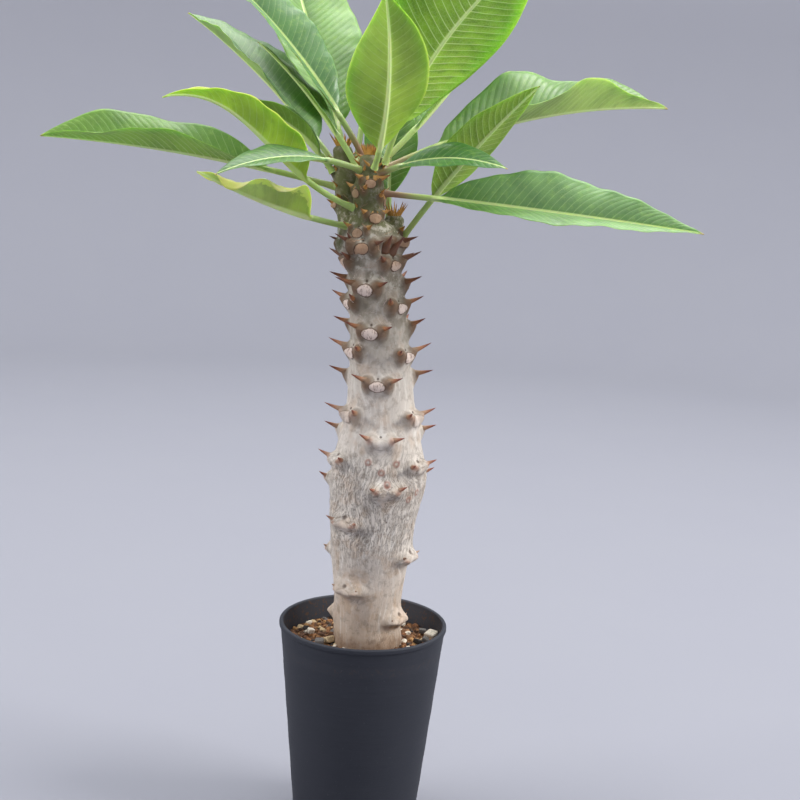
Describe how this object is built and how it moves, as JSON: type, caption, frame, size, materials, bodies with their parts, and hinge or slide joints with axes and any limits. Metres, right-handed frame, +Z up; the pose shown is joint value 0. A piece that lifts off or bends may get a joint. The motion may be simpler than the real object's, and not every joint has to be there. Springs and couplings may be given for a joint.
{
  "type": "potted pachypodium baronii",
  "caption": "Young spiny-trunked succulent with a crown of wavy green leaves, standing in a small tapered charcoal pot of grit.",
  "frame": {"origin": "middle of the underside of the pot", "axes": "+Z up the trunk, -Y towards the viewer of the picture, +X to that viewer's right"},
  "size_m": [0.281, 0.1361, 0.3984],
  "materials": {
    "pot": "matte, lightly dusty",
    "grit": "dry rough granules",
    "bark": "silvery grey, finely fissured",
    "leaf_old": "satin and waxy",
    "leaf_young": "soft satin"
  },
  "bodies": {
    "root": {"pot": "pot", "soil": "grit", "trunk": "bark", "leaf_01": "leaf_old", "leaf_02": "leaf_young", "leaf_03": "leaf_old", "leaf_04": "leaf_young", "leaf_05": "leaf_old", "leaf_06": "leaf_old", "leaf_07": "leaf_old", "leaf_08": "leaf_old", "leaf_09": "leaf_old", "leaf_10": "leaf_young", "leaf_11": "leaf_young", "leaf_12": "leaf_old", "leaf_13": "leaf_old", "leaf_14": "leaf_young", "leaf_15": "leaf_old", "leaf_16": "leaf_old", "leaf_17": "leaf_old", "leaf_18": "leaf_old"}
  },
  "joints": []
}
